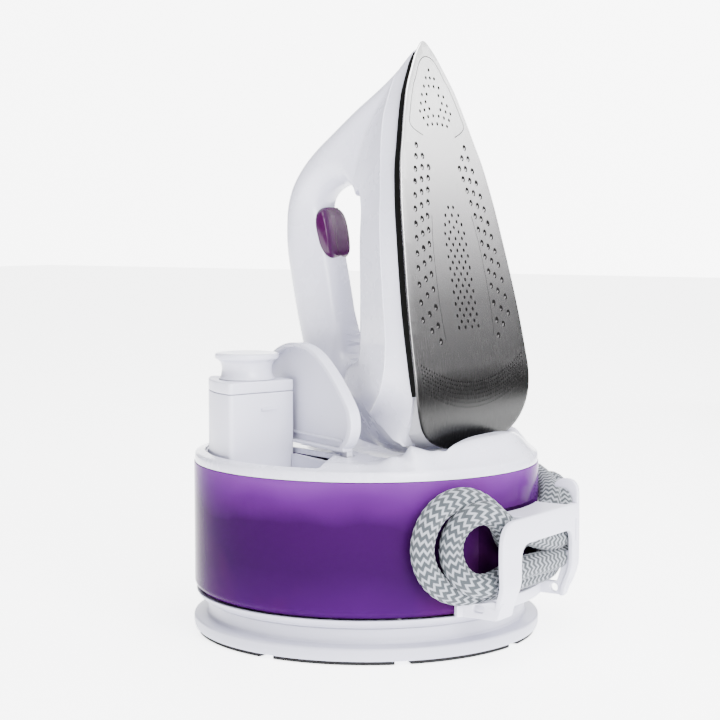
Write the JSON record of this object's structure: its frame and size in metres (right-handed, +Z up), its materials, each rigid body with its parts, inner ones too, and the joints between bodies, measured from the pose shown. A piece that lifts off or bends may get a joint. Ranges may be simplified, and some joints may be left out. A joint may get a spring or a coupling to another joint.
{
  "type": "steam generator iron",
  "caption": "Steam iron standing upright in the cradle of a round base with a translucent water tank, open filling lid, lifted filter cartridge and a hose wound through a rear rack.",
  "frame": {"origin": "centre of the round foot, on the surface that it stands on", "axes": "+Z up; -Y is the front, where the user stands and the iron's handle points; +Y is the rear, with the soleplate's face and the hose rack; +X is to the filling lid's side"},
  "size_m": [0.218, 0.2195, 0.3359],
  "materials": {
    "white_plastic": "glossy white moulding",
    "grey_plastic": "light grey moulding",
    "dark_plastic": "black moulding",
    "rubber": "matt black",
    "tank_plastic": "translucent purple",
    "trigger_plastic": "glossy purple",
    "sole_metal": "satin, fine brushing along the length",
    "cast_alloy": "as cast",
    "heater": "heat tinted",
    "steel": "bright",
    "brass": "plain",
    "board": "solder mask green",
    "silicone_tube": "milky",
    "filter_grain": "amber grain",
    "lens": "amber",
    "hose_fabric": "braided grey and white zigzag"
  },
  "bodies": {
    "base": {"base_tub": "grey_plastic", "boiler": "cast_alloy", "boiler_stand": "grey_plastic", "control_board": "board", "eco_switch": "dark_plastic", "filling_well": "white_plastic", "foot_plate": "white_plastic", "heater_band": "heater", "hose_gland": "white_plastic", "hose_rack": "white_plastic", "lid_pin_1": "steel", "lid_pin_2": "steel", "mains_gland": "dark_plastic", "power_switch": "dark_plastic", "pump": "dark_plastic", "pump_tube": "silicone_tube", "rubber_foot_1": "rubber", "rubber_foot_2": "rubber", "rubber_foot_3": "rubber", "rubber_foot_4": "rubber", "rubber_foot_5": "rubber", "rubber_foot_6": "rubber", "rubber_foot_7": "rubber", "rubber_foot_8": "rubber", "status_lens": "lens", "steam_hose_base_end": "hose_fabric", "steam_hose_coil": "hose_fabric", "steam_hose_iron_end": "hose_fabric", "steam_valve": "brass", "top_cover": "white_plastic", "tub_screw_1": "steel", "tub_screw_2": "steel", "tub_screw_3": "steel", "tub_screw_4": "steel", "water_tank": "tank_plastic"},
    "iron": {"soleplate": "sole_metal", "steam_chamber": "cast_alloy", "heat_shield": "dark_plastic", "heel_cover": "grey_plastic", "iron_shell": "white_plastic", "handle": "white_plastic", "trigger_pin": "steel", "trigger_spring": "steel", "steam_switch": "dark_plastic", "thermostat": "heater", "steam_pipe": "silicone_tube", "hose_relief": "grey_plastic"},
    "trigger": {"trigger": "trigger_plastic"},
    "lid": {"lid": "white_plastic"},
    "cartridge": {"cartridge_case": "white_plastic", "cartridge_cap": "white_plastic", "cartridge_knob": "white_plastic", "filter_granules": "filter_grain"},
    "power_button": {"power_button": "grey_plastic"},
    "eco_button": {"eco_button": "grey_plastic"}
  },
  "joints": [
    {"name": "iron_lift", "type": "slide", "parent": "base", "child": "iron", "axis": [0, 0, 1], "range_m": [0, 0.1]},
    {"name": "trigger_pull", "type": "hinge", "parent": "iron", "child": "trigger", "pos_m": [0, -0.02799, 0.23853], "axis": [-1, 0, 0], "range_deg": [0, 7], "stiffness_Nm_per_rad": 0.4, "springref_deg": -5.73},
    {"name": "lid_hinge", "type": "hinge", "parent": "base", "child": "lid", "pos_m": [0.0387, -0.01805, 0.1072], "axis": [0.4226, 0.9063, 0], "range_deg": [-6, 0]},
    {"name": "cartridge_lift", "type": "slide", "parent": "base", "child": "cartridge", "axis": [0, 0, 1], "range_m": [-0.062, 0.03]},
    {"name": "power_press", "type": "slide", "parent": "base", "child": "power_button", "axis": [0, 0, -1], "range_m": [0, 0.0015], "stiffness_N_per_m": 600, "springref_m": -0.001},
    {"name": "eco_press", "type": "slide", "parent": "base", "child": "eco_button", "axis": [0, 0, -1], "range_m": [0, 0.0015], "stiffness_N_per_m": 600, "springref_m": -0.001}
  ]
}
